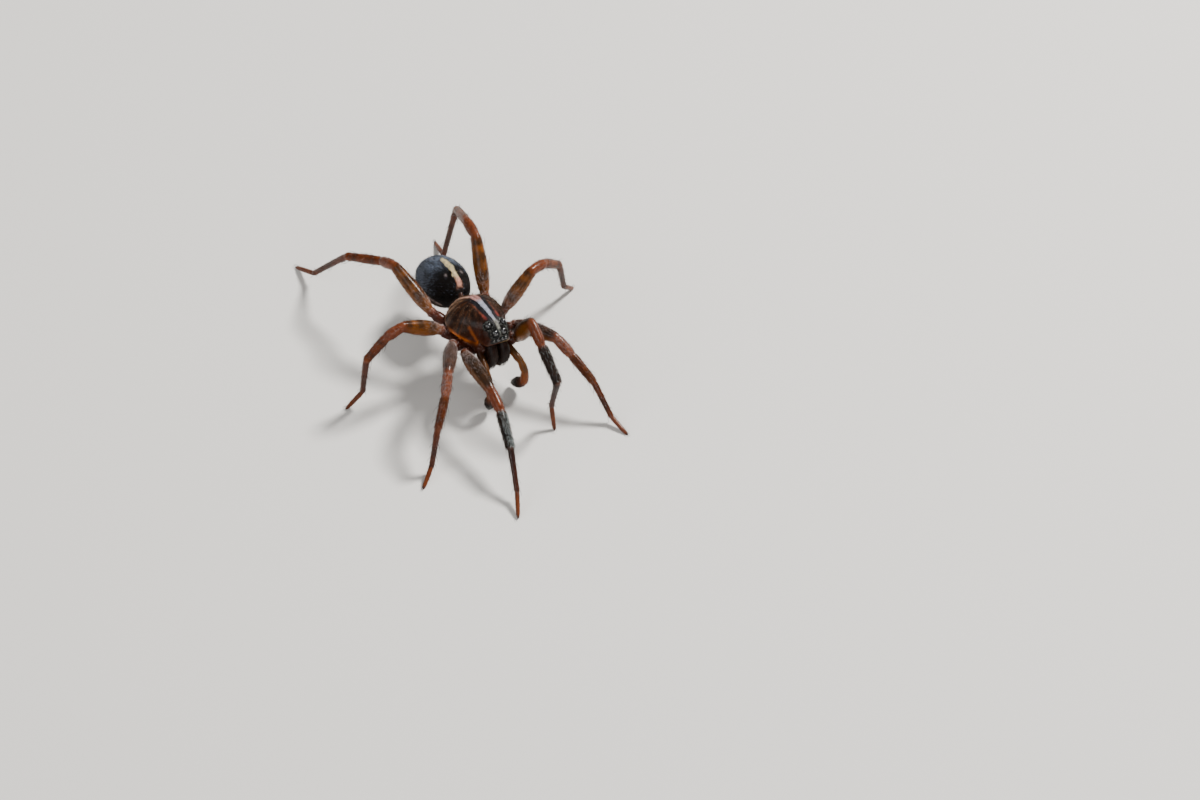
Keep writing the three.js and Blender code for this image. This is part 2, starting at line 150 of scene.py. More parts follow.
def ramp(x, low, high):
    """From 0 at low smoothly to 1 at high."""
    t = np.clip((x - low) / (high - low), 0, 1)
    return t * t * (3 - 2 * t)


def bump(x, middle, width):
    return np.exp(-(((x - middle) / width) ** 2))


def around(count):
    return np.linspace(0, 2 * np.pi, count, endpoint=False)


def noise(points, scale, seed=0):
    """Smooth value noise from 0 to 1 at points in millimetres."""
    p = points / scale + 37.1 * seed + 1000
    cell = np.floor(p).astype(np.int64)
    f = p - cell
    f = f * f * (3 - 2 * f)
    total = 0
    for corner in np.ndindex(2, 2, 2):
        c = cell + corner
        h = (c[..., 0] * 73856093) ^ (c[..., 1] * 19349663) ^ (c[..., 2] * 83492791)
        h = (h ^ (h >> 13)) * 1274126177 & 0x7FFFFFFF
        weight = np.prod(np.where(corner, f, 1 - f), axis=-1)
        total = total + weight * ((h ^ (h >> 16)) & 0xFFFF) / 65535
    return total


def mix(a, b, share):
    share = np.clip(share, 0, 1)[..., None]
    return np.asarray(a, float) * (1 - share) + np.asarray(b, float) * share


# ---- Places ----
BODY_TURN = turn("x", BODY_PITCH) @ turn("y", BODY_ROLL)


def out_of_body(places):
    """Places in the body, [forward, left, up], before the origin is set."""
    f, left, up = np.moveaxis(np.asarray(places, float), -1, 0)
    return np.stack([left, -f, up], -1) @ BODY_TURN.T + (0, 0, BODY_HEIGHT)


middle_eyes = np.array([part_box(f"eye_middle_{side_name}") for side_name in SIDES]) / MM
ORIGIN = middle_eyes.mean((0, 1)) - out_of_body(np.array(EYES["middle"][0]) * (1, 0, 1))


def in_space(places):
    return out_of_body(places) + ORIGIN


def in_body(points):
    x, y, z = ((points - ORIGIN - (0, 0, BODY_HEIGHT)) @ BODY_TURN).T
    return np.stack([-y, x, z], -1)


FORWARD, LEFTWARD = (in_space(p) - in_space((0, 0, 0)) for p in ((1, 0, 0), (0, 1, 0)))


def sided(place, side):
    """A place of the left side, on the left for side 1 and on the right for side -1."""
    return (place[0], side * place[1], place[2])


ABDOMEN_TURN = turn("z", ABDOMEN_SWING) @ turn("x", -ABDOMEN_DROOP)


def from_abdomen(local):
    """Abdomen places (left, back, up from its front end) in space."""
    return (local @ ABDOMEN_TURN.T + ABDOMEN_START) @ BODY_TURN.T + (0, 0, BODY_HEIGHT) + ORIGIN


def to_abdomen(points):
    return ((points - ORIGIN - (0, 0, BODY_HEIGHT)) @ BODY_TURN - ABDOMEN_START) @ ABDOMEN_TURN


def leg_joints(number, side_name):
    side = SIDES[side_name]
    hip, trochanter, lengths = LEG_PAIRS[number - 1]
    azimuth, lean, rises, sway, foot = LEG_POSES[side_name][number - 1]
    az, ln = np.radians(azimuth), np.radians(lean)
    outward = np.array([side * np.sin(az), -np.cos(az), 0])
    across = np.array([np.cos(az), side * np.sin(az), 0])
    upward = np.array([0, 0, np.cos(ln)]) + side * np.sin(ln) * across
    across_leg = np.cross(upward, outward) * side
    joints = [in_space(sided(hip, side)), in_space(sided(trochanter, side))]

    def turned(angle):
        return outward * np.cos(np.radians(angle)) + across_leg * np.sin(np.radians(angle))

    for i, rise in enumerate(rises):
        heading = outward if i < 2 else turned(sway)
        r = np.radians(rise)
        joints.append(joints[-1] + lengths[i] * (heading * np.cos(r) + upward * np.sin(r)))
    drop = np.arcsin(joints[-1][2] / (lengths[4] * upward[2]))
    joints.append(joints[-1] + lengths[4] * (turned(sway + foot) * np.cos(drop) - upward * np.sin(drop)))
    return joints, across_leg


def palp_joints(side_name):
    side = SIDES[side_name]
    azimuth, rises = PALPS[side_name]
    a = np.radians(azimuth)
    outward = np.array([side * np.sin(a), -np.cos(a), 0])
    joints = [in_space(sided(PALP_BASE, side))]
    for length, rise in zip(PALP_LENGTHS, np.radians(rises)):
        joints.append(joints[-1] + length * (outward * np.cos(rise) + np.array([0, 0, np.sin(rise)])))
    return joints, np.array([outward[1], -outward[0], 0])


# ---- Patches: the closed surfaces whose union is the skin ----
patches = []


def tube(rings):
    """The points and faces of a closed tube of rings."""
    count, sides = rings.shape[:2]
    i, k = np.meshgrid(np.arange(count - 1), np.arange(sides), indexing="ij")
    a, b = i * sides + k, i * sides + (k + 1) % sides
    quads = np.stack([a, b, b + sides, a + sides], -1).reshape(-1, 4).tolist()
    ends = [list(range(sides))[::-1], list(range((count - 1) * sides, count * sides))]
    return rings.reshape(-1, 3), quads + ends


def joined(tubes):
    """Several tubes as one set of points and faces."""
    points, faces, start = [], [], 0
    for tube_points, tube_faces in tubes:
        faces += [[v + start for v in face] for face in tube_faces]
        points.append(tube_points)
        start += len(tube_points)
    return np.concatenate(points), faces


class Patch:
    """A closed tube of rings, and whose skin it is."""

    def __init__(self, kind, rings, number=0, side=1):
        self.kind, self.tube, self.number, self.side = kind, tube(rings), number, side
        patches.append(self)


class Segment(Patch):
    """A straight piece of a limb with rounded ends, arched a little upward.

    Its own places are the share of its length and the angle round it, where 90 degrees is above.
    """

    def __init__(self, kind, start, end, sideways, profile, width=0.92, arch=0, sides=28, **where):
        self.start, self.end = start, end
        self.length = np.linalg.norm(end - start)
        self.d = unit(end - start)
        self.a = unit(sideways - self.d * (sideways @ self.d))
        self.w = np.cross(self.a, self.d)
        if self.w[2] < 0:
            self.w = -self.w
        self.radius, self.width, self.arch = smooth(profile), width, arch
        mid = np.linspace(0, 1, max(8, int(self.length / 0.09)))
        cap = np.radians([80, 62, 44, 26, 10])
        r0, r1 = self.radius(0), self.radius(1)
        share = np.concatenate([
            -0.8 * r0 / self.length * np.sin(cap), mid, 1 + 0.8 * r1 / self.length * np.sin(cap[::-1])])
        radius = np.concatenate([r0 * np.cos(cap), self.radius(mid), r1 * np.cos(cap[::-1])])
        rings = self.centre(share)[:, None] + radius[:, None, None] * self.ring(around(sides))
        super().__init__(kind, rings, **where)

    def ring(self, phi):
        return np.cos(phi)[:, None] * self.a * self.width + np.sin(phi)[:, None] * self.w

    def centre(self, share):
        share = np.asarray(share, float)[..., None]
        lift = self.arch * np.sin(np.pi * np.clip(share, 0, 1))
        return self.start + share * self.length * self.d + lift * self.w

    def places(self, points):
        share = (points - self.start) @ self.d / self.length
        off = points - self.centre(share)
        return share, np.arctan2(off @ self.w, off @ self.a / self.width)

    def surface(self, share, phi):
        return self.centre(share) + self.radius(share)[:, None] * self.ring(phi)

    def sample(self, density):
        """Random places on the surface, so many to a square millimetre."""
        thickness = self.radius(np.linspace(0, 1, 20))
        count = int(self.length * 2 * np.pi * thickness.mean() * density)
        share, phi = rng.random(count), rng.random(count) * 2 * np.pi
        keep = rng.random(count) < self.radius(share) / max(thickness)
        return self.surface(share[keep], phi[keep])


def body_section(f):
    """Half width, top, underside and power of the carapace's section at f."""
    half_width, top, under = smooth(HALF_WIDTH)(f), smooth(TOP)(f), smooth(UNDERSIDE)(f)
    power = CHEST_POWER + (HEAD_POWER - CHEST_POWER) * ramp(f, 0.2, 1.4)
    return half_width - SKIN_DEPTH, top - SKIN_DEPTH, under + 0.02, power


def from_fovea(f, side):
    """Angle and distance from the place where the carapace's rays meet."""
    return np.arctan2(side, f + RAYS_MEET), np.hypot(side, f + RAYS_MEET)


def furrows(f, left):
    """How deep the carapace is pressed in: the fovea, the head's edge and the rays."""
    side = np.abs(left)
    fovea = 0.1 * bump(side, 0, 0.05) * ramp(f, -1.35, -1.15) * (1 - ramp(f, -0.75, -0.55))
    angle, reach = from_fovea(f, side)
    rays = sum(bump(angle, a, 0.09) for a in (0.95, 1.45, 1.95, 2.45))
    head = bump(side, 0.12 + 0.48 * (f + 0.7), 0.08) * ramp(f, -0.7, -0.3) * (1 - ramp(f, 0.9, 1.3))
    return fovea + 0.03 * rays * ramp(reach, 0.25, 0.5) * (1 - ramp(reach, 1.1, 1.5)) + 0.035 * head


def cephalothorax():
    long = np.linspace(2.08, -2.08, 84)
    fs = np.concatenate([[2.168, 2.164, 2.15, 2.12], long, [-2.12, -2.15, -2.165]])
    scale = np.concatenate([[0.35, 0.7, 0.88, 0.97], np.ones(len(long)), [0.92, 0.75, 0.4]])
    c, s = np.cos(around(96)), np.sin(around(96))
    rings = []
    for f, k in zip(fs, scale):
        half, top, under, power = body_section(f)
        low = max(under, EDGE)
        depth = min(under - low, -0.02)
        n = np.where(s >= 0, power, UNDER_POWER)
        left = half * np.sign(c) * np.abs(c) ** (2 / n)
        up = np.where(s >= 0, top - low, depth) * np.abs(s) ** (2 / n) + low
        middle = (top + under) / 2
        left, up = left * k, middle + (up - middle) * k
        up = up - furrows(f, left) * ramp(s, 0.3, 0.6)
        left = left * (1 + 0.022 * bump(s, 0.05, 0.09))
        rings.append(np.stack([np.full_like(left, f), left, up], -1))
    Patch("cephalothorax", in_space(np.array(rings)))


def egg(share, angle, coat=0.06):
    """The abdomen's shape, inside its solid by the depth of the coat."""
    t = np.pi * share
    radius = np.sin(t) * (1 - ABDOMEN_SWELL * np.cos(t))
    return np.stack([
        (ABDOMEN_WIDE - coat) * radius * np.cos(angle), ABDOMEN_LONG - (ABDOMEN_LONG - coat) * np.cos(t),
        (ABDOMEN_HIGH - coat) * radius * np.sin(angle)], -1)


def dents(places):
    """How deep the abdomen is pressed in: muscle marks in pairs above, soft folds on the flanks."""
    x, y, z = np.moveaxis(places, -1, 0)
    marks = sum(bump(np.hypot(np.abs(x) - reach, y - along), 0, 0.1)
                for reach, along in ((0.44, 0.95), (0.46, 1.85), (0.4, 2.75))) * ramp(z, 0, 0.5)
    folds = np.sin(5.5 * z + 2 * noise(places, 1.1, 11)) * ramp(np.abs(x), 0.5, 1.1) * (1 - ramp(z, 0.4, 0.9))
    return 0.04 * marks + 0.018 * (1 + folds) + 0.05 * noise(places, 0.8, 12)


def abdomen():
    share, phi = np.meshgrid(np.linspace(0.02, 0.98, 90), around(120), indexing="ij")
    Patch("abdomen", from_abdomen(egg(share, phi, SKIN_DEPTH + dents(egg(share, phi)))))


# width against height, how far it arches up, and (share of the length, half thickness)
LEG_PIECES = {
    "coxa": (0.95, 0, [(0, 0.3), (0.3, 0.37), (0.68, 0.36), (0.8, 0.28), (0.9, 0.33), (1, 0.29)]),
    "femur": (0.84, 0.03, [(0, 0.29), (0.05, 0.34), (0.2, 0.45), (0.4, 0.495),
                           (0.65, 0.465), (0.85, 0.4), (0.95, 0.37), (1, 0.31)]),
    "patella": (0.9, 0, [(0, 0.28), (0.15, 0.325), (0.5, 0.345), (0.85, 0.33), (1, 0.27)]),
    "tibia": (0.92, 0.015, [(0, 0.24), (0.08, 0.285), (0.4, 0.29), (0.85, 0.26), (0.95, 0.265), (1, 0.215)]),
    "metatarsus": (0.95, 0.02, [(0, 0.17), (0.06, 0.205), (0.4, 0.185), (0.9, 0.17),
                                (0.96, 0.18), (1, 0.15)]),
    "tarsus": (0.95, 0, [(0, 0.12), (0.08, 0.15), (0.5, 0.145), (0.9, 0.115), (1, 0.07)]),
}
PALP_PIECES = {
    "palp_femur": [(0, 0.18), (0.2, 0.225), (0.8, 0.245), (1, 0.215)],
    "palp_patella": [(0, 0.215), (0.5, 0.255), (1, 0.225)],
    "palp_tibia": [(0, 0.22), (0.3, 0.255), (0.8, 0.265), (1, 0.235)],
    "cymbium": [(0, 0.22), (0.2, 0.295), (0.45, 0.335), (0.75, 0.245), (1, 0.09)],
}

cephalothorax()
abdomen()
Segment("pedicel", *in_space([(-1.9, 0.02, 0.14), (-2.75, 0.18, 0.3)]), LEFTWARD,
        [(0, 0.2), (0.5, 0.16), (1, 0.2)])
legs = {}
for side_name, side in SIDES.items():
    for number in (1, 2, 3, 4):
        joints, across = leg_joints(number, side_name)
        legs[side_name, number] = [
            Segment(name, joints[i], joints[i + 1], across, profile, width, arch, number=number, side=side)
            for i, (name, (width, arch, profile)) in enumerate(LEG_PIECES.items())
        ]
palps = {}
for side_name, side in SIDES.items():
    joints, across = palp_joints(side_name)
    palps[side_name] = [
        Segment(name, joints[i], joints[i + 1], across, profile, side=side)
        for i, (name, profile) in enumerate(PALP_PIECES.items())
    ]
    # the maxilla with half of the labium, and the palp's hip beside it
    for start, end, profile in (
            ((1, 0.45, -0.62), (1.6, 0.26, -0.75), [(0, 0.22), (0.6, 0.26), (1, 0.18)]),
            ((0.9, 0.75, -0.66), (1.62, 0.86, -0.4), [(0, 0.3), (0.5, 0.33), (1, 0.26)])):
        Segment("mouth", *in_space([sided(start, side), sided(end, side)]), LEFTWARD,
                profile, 1, side=side)
# the soft parts between the legs' roots and under the carapace's edge
for side in (1, -1):
    for f, reach in ((0.88, 1.72), (0.05, 1.8), (-1.1, 1.72)):
        Segment("pleura", *in_space([(f * 0.8, side, -0.55), (f, side * reach, -0.52)]),
                FORWARD, [(0, 0.3), (1, 0.2)], 1, sides=24)
    Segment("pleura", *in_space([(1.55, side * 0.76, -0.08), (0.8, side * 1.06, -0.43)]), LEFTWARD,
            [(0, 0.18), (0.5, 0.27), (1, 0.27)], 1, sides=24)
Segment("pleura", *in_space([(1.75, 0, -0.32), (-1.7, 0, -0.4)]), LEFTWARD,
        [(0, 0.34), (0.3, 0.44), (0.7, 0.42), (1, 0.3)], 2.9, sides=64)
spinnerets = []
for x, z, reach, radius in ((0.16, -0.08, 5.2, 0.13), (0.09, -0.27, 5.16, 0.13), (0.03, -0.14, 5, 0.12)):
    for side in (1, -1):
        base, tip = from_abdomen(np.array([[side * x * 0.8, 4.5, z], [side * x, reach, z]]))
        spinnerets.append(Segment("spinneret", base, tip, LEFTWARD,
                                  [(0, radius), (0.6, radius * 0.85), (1, radius * 0.5)], 1, sides=16))


# ---- The skin ----
def show(obj):
    bpy.context.scene.collection.objects.link(obj)
    return obj


def add_piece(name, mesh):
    obj = show(bpy.data.objects.new(name, mesh))
    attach(obj, "root")
    return obj


def new_object(name, points, faces, slot, finish):
    """A piece with its points in millimetres."""
    mesh = bpy.data.meshes.new(name)
    mesh.from_pydata(points * MM, [], faces)
    mesh.update()
    mesh.shade_smooth()
    mesh.materials.append(finish)
    return add_piece(name, mesh)


def fill(target, name, values):
    """Sets a value of every point, corner or edge at once, as read() gives it."""
    target.foreach_set(name, np.asarray(values, np.float32).ravel())


def add_tint(mesh, colours):
    fill(mesh.attributes.new("tint", "FLOAT_COLOR", "POINT").data, "color", colours)


def read(target, name, width=3, kind=np.float32):
    values = np.empty(len(target) * width, kind)
    target.foreach_get(name, values)
    return values.reshape(-1, width)


def union_mesh():
    """All the patches as one closed surface, in millimetres."""
    points, faces = joined([patch.tube for patch in patches])
    mesh = bpy.data.meshes.new("patches")
    mesh.from_pydata(points, [], faces)
    obj = show(bpy.data.objects.new("patches", mesh))
    remesh = obj.modifiers.new("union", "REMESH")
    remesh.mode, remesh.voxel_size = "VOXEL", VOXEL
    rounding = obj.modifiers.new("rounding", "SMOOTH")
    rounding.factor, rounding.iterations = 0.5, 3
    made = bpy.data.meshes.new_from_object(obj.evaluated_get(bpy.context.evaluated_depsgraph_get()))
    bpy.data.objects.remove(obj)
    return made


skin_mesh = union_mesh()
skin_mesh.name = "skin"
skin_points = read(skin_mesh.vertices, "co").astype(float)
skin_points[:, 2] = np.maximum(skin_points[:, 2], 0.004)
owner = np.repeat(np.arange(len(patches)), [len(patch.tube[0]) for patch in patches])
tree = KDTree(len(owner))
for i, point in enumerate(np.concatenate([patch.tube[0] for patch in patches])):
    tree.insert(point, i)
tree.balance()
# the skin sinks a little round each eye, which leaves the lens standing out
fill(skin_mesh.vertices, "co", skin_points)
skin_mesh.update()
normals = read(skin_mesh.vertex_normals, "vector")
for place, radius in EYES.values():
    for side in (1, -1):
        far = np.linalg.norm(skin_points - in_space(sided(place, side)), axis=1) / radius
        skin_points -= (0.3 * radius * (1 - ramp(far, 0.95, 1.5)))[:, None] * normals
skin_owner = owner[[tree.find(p)[1] for p in skin_points]]


# ---- Colours, all linear ----
AMBER, OLIVE, RED_BROWN = (0.23, 0.065, 0.005), (0.06, 0.027, 0.006), (0.1, 0.019, 0.004)
ORANGE, DARK, BLACK = (0.42, 0.1, 0.01), (0.018, 0.008, 0.005), (0.003, 0.003, 0.0035)
CREAM, MEMBRANE = (0.78, 0.68, 0.43), (0.15, 0.045, 0.022)
LILAC, PINK = (0.52, 0.54, 0.64), (0.58, 0.26, 0.2)
RAYS = (0.75, 1.15, 1.55, 1.95, 2.35, 2.75)


def layered(colour, *layers):
    """A colour with others laid over it in turn, each as (colour, share)."""
    for layer in layers:
        colour = mix(colour, *layer)
    return colour


def eye_distance(f, side, up, row):
    (ef, el, eu), radius = EYES[row]
    return np.sqrt((f - ef) ** 2 + (side - el) ** 2 + (up - eu) ** 2) / radius


def beside_line(places, start, end, width):
    """How near places in the body are to a straight line between two others, from 0 to 1."""
    start, along = np.array(start), np.array(end) - np.array(start)
    share = np.clip((places - start) @ along / (along @ along), 0, 1)
    return bump(np.linalg.norm(places - start - share[:, None] * along, axis=1), 0, width)


def median_band(f, side, points):
    """The pale band along the middle: broad and pink behind, narrow and white between the eyes."""
    half = 0.15 - 0.085 * ramp(f, -0.2, 1.5) + 0.1 * bump(f, -0.9, 0.32)
    ragged = 0.05 * (noise(points, 0.1, 3) - 0.5)
    inside = 1 - ramp(side + ragged, half * 0.75, half * 1.15)
    return inside * ramp(f, -1.5, -1.15) * (1 - ramp(f, 1.72, 1.9))


def carapace_colour(points, hairs=False):
    f, left, up = in_body(points).T
    side = np.abs(left)
    angle, reach = from_fovea(f, side)
    n, fine = noise(points, 0.28, 1), noise(points, 0.08, 2)
    streaky = noise(np.stack([angle * 14, reach * 1.6, 0 * f], -1), 1, 9)
    rays = sum(bump(angle + 0.12 * (n - 0.5), a, 0.085) for a in RAYS) * ramp(reach, 0.55, 1.1)
    behind = ramp(-f, 0.9, 1.6) * ramp(reach, 0.5, 0.8)
    line = bump(side, 0.5 - 0.06 * f + 0.05 * (fine - 0.5), 0.05 + 0.03 * ramp(f, 0.3, 0.9))
    line = line * ramp(f, -0.9, -0.1) * (1 - ramp(f, 0.95, 1.15))
    flank = np.stack([f, side, up], -1)
    hem = np.maximum(beside_line(flank, (-1.3, 0.25, 1.2), (-1.95, 0.4, 0.55), 0.13),
                     beside_line(flank, (-1.9, 0.45, 0.55), (-1.5, 1.35, 0.15), 0.14))
    cheek = beside_line(flank, (0.66, 1.26, 0.8), (1.85, 0.97, -0.1), 0.11)
    margin = np.maximum(smooth(UNDERSIDE)(f) + 0.02, EDGE)
    edge = bump(up, margin + 0.09, 0.11) * ramp(f, -2.1, -1.2)
    edge_tone = layered(ORANGE, ((0.16, 0.07, 0.035), ramp(-f, 0.1, 0.6)),
                        ((0.08, 0.03, 0.012), ramp(f, 1.4, 1.55)))
    away = np.ones(len(f))
    for row, spread in (("front_inner", 2.3), ("front_outer", 2.3), ("middle", 2), ("rear", 1.75)):
        away *= ramp(eye_distance(f, side, up, row), 1.05 * spread - 0.2, spread + 0.15)
    band_tone = layered(LILAC, (PINK, ramp(-f, 0.35, 0.85) * 0.8),
                        ((0.6, 0.59, 0.47), ramp(f, 0.9, 1.4) * 0.8))
    return layered(
        mix((0.005, 0.0016, 0.0006), (0.032, 0.0075, 0.0014), 1.3 * n * fine),
        # brown streaks and paler rays, palest behind
        ((0.062, 0.02, 0.0055), ramp(streaky, 0.55, 0.85) * ramp(reach, 0.4, 0.9) * 0.7),
        ((0.11, 0.05, 0.024), np.clip(rays, 0, 1) * (0.1 + 0.5 * fine) * (1 - 0.7 * ramp(f, -0.2, 0.8))),
        ((0.34, 0.2, 0.12), behind * ramp(streaky, 0.45, 0.7) * 0.8),
        # reddish sides of the head, black beside the band, the red lines next to that
        ((0.04, 0.008, 0.003), ramp(f, 0.5, 1.3) * ramp(side, 0.45, 0.8) * (0.5 + 0.5 * n)),
        ((0.006, 0.006, 0.009), 1.3 * bump(side, 0.31, 0.19) * ramp(f, -1.1, -0.7)),
        (mix(MEMBRANE, (0.46, 0.07, 0.05), ramp(f, 0.4, 0.95)), line * (0.2 + 0.8 * n)),
        # the pale hem behind, the orange stripes on the cheek and the edge, and the dark underside
        ((0.6, 0.36, 0.27), hem * (0.55 + 0.6 * fine)),
        ((0.3, 0.075, 0.01), cheek * (0.35 + 0.6 * fine)),
        (edge_tone, edge * (0.7 + 0.6 * n)),
        ((0.03, 0.007, 0.003), ramp(EDGE - up, 0, 0.05)),
        # the face, its pale rim and the black round the eyes
        ((0.035, 0.008, 0.003), ramp(f, 1.6, 1.95) * (1 - ramp(up, 0.75, 1))),
        (mix((0.08, 0.03, 0.015), (0.34, 0.24, 0.1), ramp(left, -0.1, 0.4)),
         0.8 * bump(up, 0.37, 0.055) * ramp(f, 1.85, 2.05)),
        (BLACK, 1 - away),
        (band_tone if hairs else band_tone * 0.75, median_band(f, side, points)),
    )


def cardiac_mark(points):
    x, y, z = to_abdomen(points).T
    edge = 0.165 + 0.06 * bump(y, 1.6, 0.4) - 0.13 * ramp(y, 2, 2.6)
    ragged = 0.17 * (noise(points, 0.11, 5) - 0.5)
    inside = 1 - ramp(np.abs(x) + ragged, edge * 0.8, edge * 1.1)
    return inside * ramp(y, 0.1, 0.16) * (1 - ramp(y, 2.35, 2.6)) * (z > 0)


def abdomen_colour(points, hairs=False):
    x, y, z = to_abdomen(points).T
    side, n = np.abs(x), noise(points, 0.3, 4)
    fold = beside_line(np.stack([side, y, z], -1), (1.2, 1.8, -0.52), (0.78, 1.2, -0.92), 0.1)
    tone = mix(CREAM, (0.75, 0.4, 0.3), 1 - ramp(y, 0.3, 0.65))
    spots = sum(bump(np.hypot(side - reach, y - along), 0, 0.07)
                for reach, along in ((0.5, 0.9), (0.42, 2.9), (0.36, 3.4), (0.3, 3.8))) * (z > 0)
    return layered(
        mix((0.004, 0.0035, 0.004), (0.015, 0.011, 0.01), n),
        # grey above and behind, partly grey hairs and partly a painted sheen of light reflected off the
        # hairs; brown below
        ((0.07, 0.08, 0.1), ramp(y, 0.8, 2.4) * ramp(z, -0.8, 0.4) * (0.4 + 0.6 * n)),
        ((0.085, 0.055, 0.04), ramp(-z, 0.25, 1) * ramp(y, 0.9, 2) * (0.4 + 0.6 * n)),
        ((0.5, 0.36, 0.31), fold * (0.6 + 0.4 * n)),
        (tone if hairs else tone * 0.75, cardiac_mark(points)),
        # a row of pale spots on each side, and one dark spot
        ((0.5, 0.42, 0.42), np.clip(spots * 1.4, 0, 1) * 0.8),
        ((0.012, 0.008, 0.008), bump(np.hypot(side - 0.36, y - 1.95), 0, 0.13) * (z > 0)),
    )


def leg_colour(patch, points, hairs=False):
    share, phi = patch.places(points)
    above = np.sin(phi)
    n, fine = noise(points, 0.35, 7), noise(points, 0.12, 8)
    kind, first, second = patch.kind, patch.number == 1, patch.number == 2
    if kind == "coxa":
        # the coxae sit under the body and are painted very dark: partly their own red-brown, partly painted
        # shade; paler near their far end
        colour = layered(
            mix((0.03, 0.006, 0.003), (0.07, 0.014, 0.005), n),
            ((0.13, 0.034, 0.014), 0.6 * ramp(share, 0.8, 0.9)))
    elif kind == "femur":
        blotch = 0.3 + sum(size * bump(share, middle, width) for size, middle, width in (
            (0.9, 0.3, 0.1), (0.9, 0.62, 0.1), (0.8, 0.88, 0.06)))
        colour = layered(
            mix(AMBER, OLIVE, 0.7 * n),
            (RED_BROWN, ramp(share, 0.75, 1) * 0.8),
            ((0.026, 0.012, 0.005), np.clip(blotch * ramp(above, 0.1, 0.8) * (0.3 + fine), 0, 0.85)),
            (OLIVE, 0.4 * first),
            ((0.012, 0.009, 0.007), first * 0.7 * ramp(above, 0.2, 0.7)),
            ((0.03, 0.017, 0.014), second * 0.75 * ramp(above, -0.2, 0.6)))
    elif kind == "patella":
        # the second pair's patellae are paler and pinker, partly their own colour and partly a painted
        # highlight
        pale = (0.26, 0.085, 0.045) if second else (0.18, 0.045, 0.015)
        colour = layered(RED_BROWN, (pale, fine), (DARK, 0.45 * ramp(above, 0.3, 0.9) * n))
    elif kind == "tibia" and first:
        black = mix((0.008, 0.008, 0.008), (0.03, 0.014, 0.009), n)
        colour = mix(RED_BROWN, black, ramp(share, 0, 0.12))
    elif kind == "tibia":
        rings = bump(share, 0.2, 0.07) + bump(share, 0.72, 0.08)
        colour = layered(
            mix((0.145, 0.034, 0.005), RED_BROWN, n),
            (DARK, 0.35 * second),
            (DARK, (0.5 if patch.number > 2 else 0.3) * rings),
            (DARK, 0.35 * ramp(fine, 0.45, 0.8)))
    elif kind == "metatarsus" and first:
        colour = mix((0.012, 0.005, 0.004), (0.05, 0.011, 0.005), share)
    elif kind == "metatarsus":
        colour = layered(
            mix((0.095, 0.02, 0.005), (0.045, 0.01, 0.004), n),
            (DARK, 0.55 * bump(share, 0.6, 0.22)))
    elif kind == "tarsus":
        colour = layered(
            mix((0.13, 0.03, 0.007), (0.08, 0.018, 0.006), n),
            (DARK, ramp(share, 0.93, 1)))
    elif kind == "cymbium":
        colour = mix((0.07, 0.02, 0.007), (0.01, 0.006, 0.004), ramp(share, 0.05, 0.4))
    elif kind == "palp_tibia":
        colour = layered(
            mix((0.22, 0.055, 0.007), (0.15, 0.03, 0.005), n),
            ((0.05, 0.014, 0.005), 0.8 * ramp(above, 0.35, 0.9)))
    elif kind == "spinneret":
        colour = mix((0.04, 0.025, 0.018), (0.1, 0.065, 0.04), share)
    elif kind == "mouth":
        colour = mix((0.03, 0.007, 0.003), (0.06, 0.015, 0.007), ramp(share, 0.7, 1))
    elif kind in ("pedicel", "pleura"):
        # the pedicel and the soft parts between the legs' roots are painted near black: partly their own dark
        # colour, partly painted shade in the gaps between the body's parts
        colour = mix((0.012, 0.004, 0.002), (0.05, 0.011, 0.004), n)
    else:
        colour = layered(
            mix((0.15, 0.05, 0.008), (0.24, 0.06, 0.008), n),
            ((0.035, 0.018, 0.006), 0.75 * ramp(above, 0.1, 0.8)))
        if kind == "palp_femur":
            # the palp's femur darkens towards its base under the head: partly its own colour, partly painted
            # shade
            colour = mix((0.03, 0.008, 0.004), colour, ramp(share, 0.1, 0.6))
    if kind in LEG_PIECES and kind != "coxa" and not hairs:
        ends = (1 - ramp(share, 0, 0.03)) + ramp(share, 0.975, 1)
        colour = mix(colour, MEMBRANE, 0.4 * ends)
    return colour


def paint(patch, points):
    if patch.kind == "cephalothorax":
        return carapace_colour(points)
    if patch.kind == "abdomen":
        return abdomen_colour(points)
    return leg_colour(patch, points)


GLOSS = {"abdomen": 0.3, "cephalothorax": 0.52, "pedicel": 0.1, "spinneret": 0.3, "cymbium": 0.4,
         "pleura": 0.3, "mouth": 0.35, "coxa": 0.55}
OTHER_GLOSS, SEAM_REACH, SEAM_ROUNDS = 0.85, 2, 6
tint = np.ones((len(skin_points), 4))
gloss = np.zeros(len(skin_points))
for i, patch in enumerate(patches):
    mine = skin_owner == i
    if mine.any():
        tint[mine, :3] = paint(patch, skin_points[mine])
        gloss[mine] = GLOSS.get(patch.kind, OTHER_GLOSS)
# the colours run into each other where two patches meet
one, other = read(skin_mesh.edges, "vertices", 2, np.int32).T
seam = np.zeros(len(tint), bool)
for k in range(SEAM_REACH + 1):
    crossing = seam[one] | seam[other] if k else skin_owner[one] != skin_owner[other]
    seam[one[crossing]] = seam[other[crossing]] = True
neighbours = np.bincount(np.append(one, other), minlength=len(tint)).clip(1)
for _ in range(SEAM_ROUNDS):
    for level in tint.T[:3]:
        total = np.bincount(one, level[other], len(level)) + np.bincount(other, level[one], len(level))
        level[seam] = (total / neighbours)[seam]
skin_tree = BVHTree.FromPolygons(
    [Vector(p) for p in skin_points], [list(p.vertices) for p in skin_mesh.polygons])
fill(skin_mesh.vertices, "co", skin_points * MM)
add_tint(skin_mesh, tint)
fill(skin_mesh.attributes.new("gloss", "FLOAT", "POINT").data, "value", gloss)
skin_mesh.update()
skin_mesh.shade_smooth()
skin = add_piece("skin", skin_mesh)
